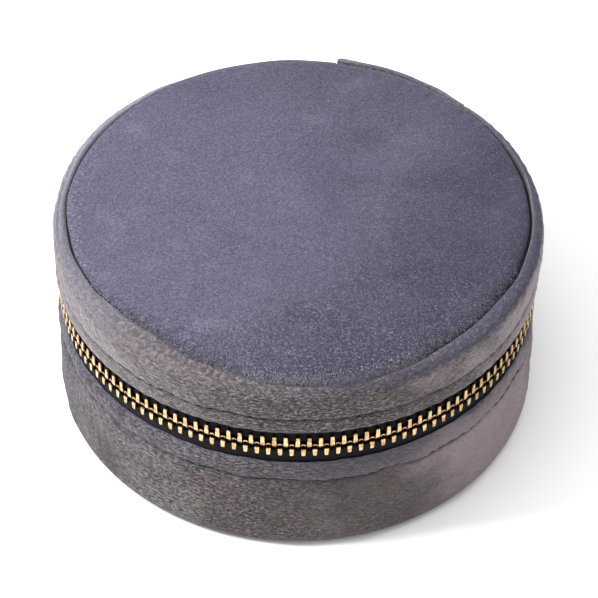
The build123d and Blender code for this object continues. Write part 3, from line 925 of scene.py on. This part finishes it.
def tape_strip(name, node, lid_side):
    """Woven tape with a corded edge that the teeth clamp."""
    low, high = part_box(node)
    t = TAPE_T / 2
    mid = CHAIN_R
    cord_z = low.z if lid_side else high.z
    away = 1 if lid_side else -1
    far = high.z if lid_side else low.z
    zs = np.linspace(cord_z + away * 1.2 * MM, far, 26)
    bead = 0.26 * MM
    nose = [(mid + (t + bead * 0.6) * math.cos(a), cord_z + away * (0.55 * MM - 0.5 * MM * math.sin(a)))
            for a in np.linspace(0, math.pi, 11)]
    outline = [(mid + t, z) for z in zs[::-1]] + nose + [(mid - t, z) for z in zs]
    o = sweep(name, np.array(outline), spaced(ZIP_FROM + 0.1, ZIP_TO - 0.1, 420))
    dress(o, tape_cloth, "lid" if lid_side else "base", "tape", node)
    return o


def prism(bm, outline, low, high):
    """Extrude an outline of (x, y) between two levels; returns its faces."""
    ring_low = [bm.verts.new((x, y, low)) for x, y in outline]
    ring_high = [bm.verts.new((x, y, high)) for x, y in outline]
    n = len(outline)
    faces = [bm.faces.new(ring_low[::-1]), bm.faces.new(ring_high)]
    for i in range(n):
        k = (i + 1) % n
        faces.append(bm.faces.new((ring_low[i], ring_low[k], ring_high[k], ring_high[i])))
    return faces


def mirrored(half):
    """A closed outline from its right-hand half, listed from the bottom up, in metres."""
    return [(x * MM, y * MM) for x, y in half] + [(-x * MM, y * MM) for x, y in half[::-1]]


def tooth_mesh(leg_from, leg_to, brow):
    """One tooth, X along the chain, Y away from the other row, Z outward.

    Two legs clamp the tape from both sides; the rounded head between them meets the other row.
    A brow is the raised rim over the head's socket."""
    bm = bmesh.new()
    leg = mirrored([(0.46, leg_from), (0.50, leg_from + 0.3), (0.41, leg_from + 0.7), (0.41, leg_to - 0.2),
                    (0.32, leg_to)])
    for low, high in ((0.34, 1.2), (-1.2, -0.34)):
        prism(bm, leg, low * MM, high * MM)
    head = mirrored([(0.26, -0.80), (0.48, -0.52), (0.50, 0.0), (0.38, 1.2)])
    prism(bm, head, -0.5 * MM, 0.5 * MM)
    if brow:
        arch = [(0.52 * math.cos(a), -0.38 - 0.46 * math.sin(a)) for a in np.linspace(0, math.pi, 7)]
        arch += [(0.36 * math.cos(a), -0.38 - 0.27 * math.sin(a)) for a in np.linspace(math.pi, 0, 7)]
        prism(bm, [(x * MM, y * MM) for x, y in arch], 0.2 * MM, 1.05 * MM)
    bmesh.ops.bevel(bm, geom=bm.edges[:], offset=0.05 * MM, segments=2, affect="EDGES", profile=0.6)
    bmesh.ops.recalc_face_normals(bm, faces=bm.faces)
    me = bpy.data.meshes.new("tooth")
    bm.to_mesh(me)
    bm.free()
    return me


def chain_matrix(deg, row):
    """Local frame on the chain: X clockwise along it, Y away from the other row, Z outward."""
    a = math.radians(deg)
    x = Vector((math.cos(a), -math.sin(a), 0))
    y = Vector((0, 0, row))
    z = Vector((math.sin(a), math.cos(a), 0))
    at = z * CHAIN_R + Vector((0, 0, ZIP_Z + CHAIN_LIFT))
    return Matrix(((x.x, y.x, z.x, at.x), (x.y, y.y, z.y, at.y), (x.z, y.z, z.z, at.z), (0, 0, 0, 1)))


def teeth(name, node, lid_side):
    """A whole row of teeth as one piece, each a hair out of true."""
    one = tooth_mesh(0.35, 2.85, False) if lid_side else tooth_mesh(0.6, 2.5, True)
    co = np.array([v.co for v in one.vertices])
    polys = [tuple(p.vertices) for p in one.polygons]
    rng = np.random.default_rng(91 if lid_side else 92)
    verts, faces = [], []
    first = TEETH_FROM - (PITCH_DEG / 2 if lid_side else 0)
    for i in range(TEETH_COUNT):
        lean = rng.normal(0, 0.012)
        slip = rng.normal(0, 0.02 * MM)
        local = co @ np.array([[1, 0, 0], [lean, 1, 0], [0, 0, 1]])
        local[:, 1] += slip
        m = np.array(chain_matrix(first - i * PITCH_DEG, 1 if lid_side else -1))
        start = len(verts) * len(co)
        verts.append(local @ m[:3, :3].T + m[:3, 3])
        faces += [tuple(start + v for v in p) for p in polys]
    o = make(name, np.concatenate(verts), faces)
    smooth(o, 40)
    return dress(o, tooth_brass, "lid" if lid_side else "base", "brass", node)


def eased(name, node, material, body, slot_name, width, segments=2, angle=35):
    """A copy of a CAD piece with its edges rounded, which stands for it."""
    me = frame["nodes"][node].data.copy()
    me.name = name
    bm = bmesh.new()
    bm.from_mesh(me)
    bmesh.ops.remove_doubles(bm, verts=bm.verts, dist=0.002 * MM)
    bmesh.ops.dissolve_limit(bm, angle_limit=math.radians(1.5), verts=bm.verts, edges=bm.edges)
    sharp = [e for e in bm.edges if len(e.link_faces) == 2 and e.calc_face_angle(0) > math.radians(angle)]
    bmesh.ops.bevel(bm, geom=sharp, offset=width, segments=segments, affect="EDGES", profile=0.6,
                    clamp_overlap=True)
    bmesh.ops.triangulate(bm, faces=[f for f in bm.faces if len(f.verts) > 4])
    bm.to_mesh(me)
    bm.free()
    o = new_object(name, me)
    smooth(o, 38)
    return dress(o, material, body, slot_name, node)


def stitches(name, wall_r, seam_z, seed, body):
    """A row of sunk stitches that follows the wandering seam."""
    gap = 0.55 * MM
    step = math.degrees(STITCH / wall_r)
    sides, along = 6, 7
    verts, faces = [], []
    deg = ZIP_FROM + 1.2
    while deg + step < ZIP_TO - 1.0:
        base = len(verts)
        half = step * (1 - gap / STITCH) / 2
        for t in np.linspace(-1, 1, along):
            th = math.radians(deg + step / 2 + half * t)
            wander = float(seam_line(np.array([[th]]), seed)[0, 0])
            dip = 0.30 * MM * abs(t) ** 3
            thick = 0.15 * MM * math.sqrt(max(0.05, 1 - abs(t) ** 4))
            rad = wall_r - 0.42 * MM - dip
            for s in range(sides):
                a = 2 * math.pi * s / sides
                rr = rad + thick * math.cos(a)
                verts.append((rr * math.sin(th), rr * math.cos(th), seam_z + wander + thick * math.sin(a)))
        for i in range(along - 1):
            for s in range(sides):
                a, b = base + i * sides + s, base + i * sides + (s + 1) % sides
                faces.append((a, b, b + sides, a + sides))
        faces.append(tuple(base + s for s in range(sides)))
        faces.append(tuple(base + (along - 1) * sides + s for s in range(sides)))
        deg += step
    o = make(name, verts, faces)
    return dress(o, thread, body, "velvet")


# ---- inside

def soft_disc(name, material, body, slot_name, node, edge_roll, swell, seed):
    """A thin padded disc: its own CAD size, with a rolled edge and a slightly uneven top."""
    low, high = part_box(node)
    r = radius(node)
    outline = [(0.4 * MM, low.z), (r - edge_roll, low.z), (r, low.z + 0.2 * MM),
               (r, high.z - edge_roll * 0.6), (r - edge_roll * 0.4, high.z), (r - edge_roll * 1.6, high.z)]
    outline += [(x, high.z) for x in np.linspace(r - edge_roll * 3, 0.4 * MM, 50)]
    section = rounded(outline, 1)

    def shift(r0, z0, theta):
        x, y = r0 * np.sin(theta), r0 * np.cos(theta)
        top = ramp(z0, low.z + 0.6 * (high.z - low.z), high.z)
        return r0, z0 + top * swell * (plane_waves(x, y, seed, 9 * MM, 30 * MM) - 1.0)

    o = sweep(name, section, spaced(0, 360, 241)[:-1], shift, closed=True)
    return dress(o, material, body, slot_name, node)


def underside():
    """Velvet disc under the base."""
    low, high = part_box("base_bottom_cover")
    r = radius("base_bottom_cover")
    outline = [(0.4 * MM, high.z), (r, high.z), (r, low.z + 0.3 * MM), (r - 0.4 * MM, low.z)]
    outline += [(x, low.z) for x in np.linspace(r - 1.2 * MM, 0.4 * MM, 50)]
    section = rounded(outline, 1)

    def shift(r0, z0, theta):
        x, y = r0 * np.sin(theta), r0 * np.cos(theta)
        face = (1 - ramp(z0, low.z, low.z + 0.3 * MM)) * (1 - ramp(r0, r - 6 * MM, r - 3 * MM))
        swell = 2.2 + np.clip(plane_waves(x, y, 101, 8 * MM, 30 * MM), -2, 2)
        return r0, z0 + face * 0.05 * MM * swell

    o = sweep("base_underside_velvet", section, spaced(0, 360, 241)[:-1], shift, closed=True)
    dress(o, base_velvet, "base", "velvet_underside", "base_bottom_cover")
    return o


def base_lining():
    """Lining velvet inside the base, rolled over the collar's top."""
    low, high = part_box("base_lining")
    out = radius("base_lining")
    inn = out - 2.4 * MM
    outline = [
        *beside(inn, low.z, (0, 0), (0.9, 0)),
        *beside(inn, high.z, (0.95, -1.2), (1.2, -0.95)),
        *beside(out, high.z, (-0.2, -0.95), (0, -0.7), (0, -0.3), (-0.5, 0)),
        *beside(inn, high.z, (0.8, 0), (0.15, -0.4)),
    ]
    outline += [(inn, z) for z in np.linspace(high.z - 1.3 * MM, low.z + 1 * MM, 26)]
    section = rounded(outline, 2)

    def shift(r0, z0, theta):
        inner = 1 - ramp(r0, inn, inn + 0.8 * MM)
        return r0 + inner * 0.07 * MM * (waves(theta, z0, 111, (6, 40), 9 * MM) - 0.8), z0

    o = sweep("base_lining_velvet", section, spaced(0, 360, 481)[:-1], shift, closed=True)
    dress(o, inner_velvet, "base", "lining", "base_lining")
    return o


def lid_lining():
    """Lining velvet round the inside of the lid and the panel round the mirror."""
    low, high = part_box("lid_lining_wall")
    out = radius("lid_lining_wall")
    inn = out - 0.95 * MM
    outline = beside(out, low.z, (0, 0.4), (-0.2, 0)) + beside(inn, low.z, (0.2, 0), (0, 0.4))
    outline += [(inn, z) for z in np.linspace(low.z + 1 * MM, high.z, 12)]
    outline += [(out, high.z), (out, low.z + 3 * MM)]

    def wall_shift(r0, z0, theta):
        return r0 - 0.03 * MM * (1 + waves(theta, z0, 121, (8, 50), 7 * MM)), z0

    degs = spaced(0, 360, 361)[:-1]
    wall = sweep("lid_lining_velvet", rounded(outline, 2), degs, wall_shift, closed=True)
    dress(wall, inner_velvet, "lid", "lining", "lid_lining_wall")

    low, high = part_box("lid_lining_panel")
    out = radius("lid_lining_panel")
    inn = radius("lid_mirror") + 0.1 * MM
    outline = [(inn, high.z), *beside(inn, low.z, (0, 0.45), (0.3, 0), (1.2, 0))]
    outline += [(x, low.z) for x in np.linspace(inn + 2 * MM, out - 1.0 * MM, 12)]
    outline += [*beside(out, low.z, (-0.3, 0), (0, 0.3)), (out, high.z)]

    def panel_shift(r0, z0, theta):
        face = 1 - ramp(z0, low.z, low.z + 0.5 * MM)
        return r0, z0 + face * 0.05 * MM * (1 + waves(theta, r0, 131, (8, 60), 7 * MM))

    ring = sweep("lid_lining_panel_velvet", rounded(outline, 2), degs, panel_shift, closed=True)
    dress(ring, inner_velvet, "lid", "lining", "lid_lining_panel")


def puffed(o, voxel, shrink, limit, pressure=4.0):
    """Swell a closed mesh like stuffed cloth, no point moving further than limit."""
    centre = sum((v.co for v in o.data.vertices), Vector()) / len(o.data.vertices)
    size = o.dimensions
    for v in o.data.vertices:
        for axis in range(3):
            away = v.co[axis] - centre[axis]
            v.co[axis] = centre[axis] + away * (1 - 2 * shrink / max(size[axis], 1e-6))
    remesh = o.modifiers.new("voxels", "REMESH")
    remesh.mode, remesh.voxel_size = "VOXEL", voxel
    apply_modifiers(o)
    start = np.array([v.co for v in o.data.vertices])
    cloth = o.modifiers.new("cloth", "CLOTH")
    cloth.settings.use_pressure = True
    cloth.settings.uniform_pressure_force = pressure
    cloth.settings.effector_weights.gravity = 0
    cloth.settings.quality = 6
    scene = bpy.context.scene
    for f in range(1, 21):
        scene.frame_set(f)
    apply_modifiers(o)
    end = np.array([v.co for v in o.data.vertices])
    move = end - start
    far = np.linalg.norm(move, axis=1, keepdims=True)
    end = start + move * np.minimum(1, limit / np.maximum(far, 1e-9))
    o.data.vertices.foreach_set("co", end.astype(np.float32).ravel())
    scene.frame_set(1)
    sub = o.modifiers.new("smooth", "SUBSURF")
    sub.levels = sub.render_levels = 1
    apply_modifiers(o)
    return o


def apply_modifiers(o):
    """Turn what the modifiers show into the mesh itself."""
    bpy.context.view_layer.update()
    dg = bpy.context.evaluated_depsgraph_get()
    me = bpy.data.meshes.new_from_object(o.evaluated_get(dg))
    o.modifiers.clear()
    o.data = me


def ring_roll(i):
    """One foam roll in its velvet sleeve."""
    node = f"ring_roll_{i}"
    o = new_object(f"ring_roll_velvet_{i}", frame["nodes"][node].data.copy())
    puffed(o, 1.3 * MM, 0.45 * MM, 0.45 * MM)
    smooth(o, 40)
    dress(o, inner_velvet, "base", "lining", node)
    return o


# ---- build

lid_wall()
base_wall()
padded_top()
groove_shadow_ring()
panel_fringe()
hinge_strip()
hinge_inside()
underside()
tape_strip("upper_tape", "zipper_tape_upper", True)
tape_strip("lower_tape", "zipper_tape_lower", False)
teeth("upper_teeth", "zipper_teeth_upper", True)
teeth("lower_teeth", "zipper_teeth_lower", False)
stitches("lid_stitching", LID_R, *LID_SEAM[:2], "lid")
stitches("base_stitching", BASE_R, *BASE_SEAM[:2], "base")

for piece, node, body, edge, segments in (
    ("slider_casting", "slider_body", "slider", 0.22 * MM, 3),
    ("slider_crown", "slider_bridge", "slider", 0.22 * MM, 3),
    ("pull_shackle", "pull_link", "pull_link", 0.16 * MM, 2),
    ("pull_blade", "pull_tab", "pull_tab", 0.18 * MM, 3),
    ("top_stop_upper", "zipper_top_stop_upper", "lid", 0.12 * MM, 2),
    ("top_stop_lower", "zipper_top_stop_lower", "base", 0.12 * MM, 2),
    ("bottom_stop", "zipper_bottom_stop", "base", 0.15 * MM, 2),
):
    eased(piece, node, slider_brass, body, "brass", edge, segments)

base_lining()
lid_lining()
pad = soft_disc("floor_pad_velvet", inner_velvet, "base", "lining", "base_floor_pad", 0.9 * MM,
                0.12 * MM, 141)
for number in (1, 2, 3):
    ring_roll(number)
for part in ("divider_long", "divider_left", "divider_right"):
    eased(part + "_velvet", part, inner_velvet, "base", "lining", 0.85 * MM, 4, 30)

boards = ("base_bottom_board", "base_wall_board", "base_collar", "lid_top_board", "lid_wall_board")
for node, material in (*((board, board_grey) for board in boards), ("lid_top_foam", foam_pale),
                       ("lid_mirror", mirror_glass)):
    shown = frame["nodes"][node]
    shown.data.materials.clear()
    shown.data.materials.append(material)


# ---- floor, light, camera

def floor():
    """A plain pale floor."""
    half = 3.0
    corners = [(-half, -half, 0), (half, -half, 0), (half, half, 0), (-half, half, 0)]
    o = make("floor", corners, [(0, 1, 2, 3)])
    mat, _, shader = nodes_of("pale_floor")
    shader.inputs["Base Color"].default_value = (0.93, 0.93, 0.93, 1)
    shader.inputs["Roughness"].default_value = 0.7
    shader.inputs["Specular IOR Level"].default_value = 0.2
    o.data.materials.append(mat)


def softbox(name, at, target, size, power, colour=(1, 1, 1)):
    """A square area light aimed at a point."""
    data = bpy.data.lights.new(name, "AREA")
    data.size, data.energy, data.color = size, power, colour
    o = bpy.data.objects.new(name, data)
    bpy.context.scene.collection.objects.link(o)
    o.location = at
    o.rotation_euler = (Vector(target) - Vector(at)).to_track_quat("-Z", "Y").to_euler()


def studio(above, around):
    """White studio surroundings, brighter overhead than at the level of the table."""
    world = bpy.data.worlds.new("studio")
    world.use_nodes = True
    tree = world.node_tree
    split = tree.nodes.new("ShaderNodeSeparateXYZ")
    tree.links.new(tree.nodes.new("ShaderNodeTexCoord").outputs["Generated"], split.inputs[0])
    strength = map_range(tree, split.outputs["Z"], 0.0, 0.8, around, above)
    tree.links.new(strength, tree.nodes["Background"].inputs[1])
    tree.nodes["Background"].inputs[0].default_value = (1, 1, 1, 1)
    bpy.context.scene.world = world


def camera():
    """The photograph's view: 45 degrees down, from a little right of the zip's front."""
    azimuth, elevation, roll = math.radians(27), math.radians(45.1), math.radians(0.93)
    away = 15 * LID_R
    level = math.cos(elevation)
    back = Vector((math.sin(azimuth) * level, -math.cos(azimuth) * level, math.sin(elevation)))
    data = bpy.data.cameras.new("camera")
    data.sensor_width = 36.0
    data.lens = 216.4
    data.shift_x, data.shift_y = 0.0037, -0.0077
    data.clip_start, data.clip_end = 0.05, 20
    o = bpy.data.objects.new("camera", data)
    bpy.context.scene.collection.objects.link(o)
    o.location = Vector((0, 0, TOP_Z / 2)) + back * away
    o.rotation_mode = "QUATERNION"
    o.rotation_quaternion = (-back).to_track_quat("-Z", "Y") @ Matrix.Rotation(roll, 3, "Z").to_quaternion()
    bpy.context.scene.camera = o


floor()
softbox("key", (-0.25, -0.19, 0.35), (0, 0, 0.03), 0.16, 3.4)
softbox("top", (0.0, -0.10, 0.80), (0, 0, 0.02), 0.50, 2.2)
studio(1.0, 0.6)
bpy.context.scene.view_settings.view_transform = "Standard"
camera()
